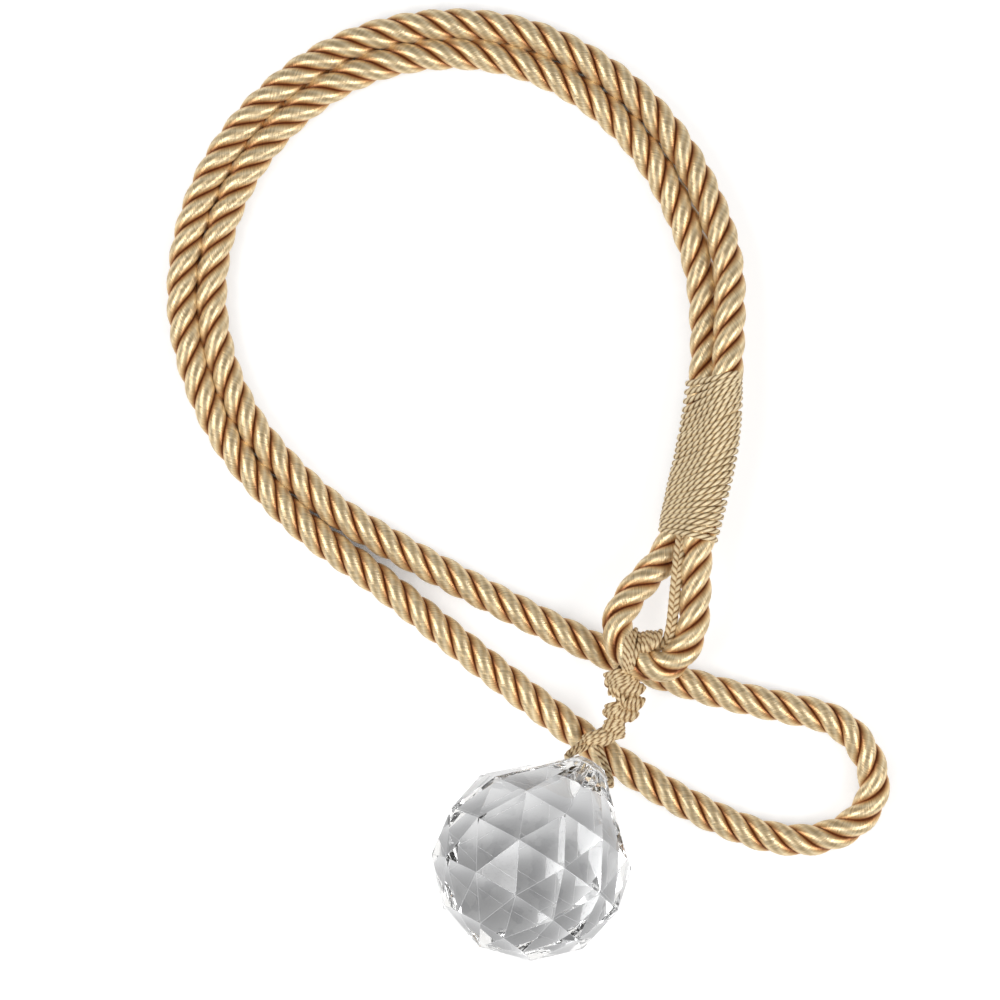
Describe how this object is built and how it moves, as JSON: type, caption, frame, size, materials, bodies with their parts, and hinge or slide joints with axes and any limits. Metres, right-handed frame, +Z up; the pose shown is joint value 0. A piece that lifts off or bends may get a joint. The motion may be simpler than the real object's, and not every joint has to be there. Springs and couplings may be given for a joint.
{
  "type": "curtain tieback",
  "caption": "Curtain tieback of doubled satin rope laid in a ring with a far loop, whipped above a small eye from which a faceted crystal ball hangs on knotted cord.",
  "frame": {"origin": "on the table, under the middle of the whole lay", "axes": "+Z up from the table, +Y from the ball towards the top of the ring, +X from the ring towards the far loop"},
  "size_m": [0.1458, 0.1908, 0.038],
  "materials": {
    "satin_rope": "champagne gold satin, twisted from three strands",
    "thin_cord": "champagne gold satin, thin plied cord",
    "cut_glass": "clear, colourless, cut and polished facets"
  },
  "bodies": {
    "root": {"main_rope": "satin_rope", "whipping": "thin_cord", "tail_cord": "thin_cord", "eye_hitch": "thin_cord", "knot_upper": "thin_cord", "knot_lower": "thin_cord", "plait_neck": "thin_cord", "plait_over": "thin_cord", "ball_loop": "thin_cord", "crystal_ball": "cut_glass"}
  },
  "joints": []
}
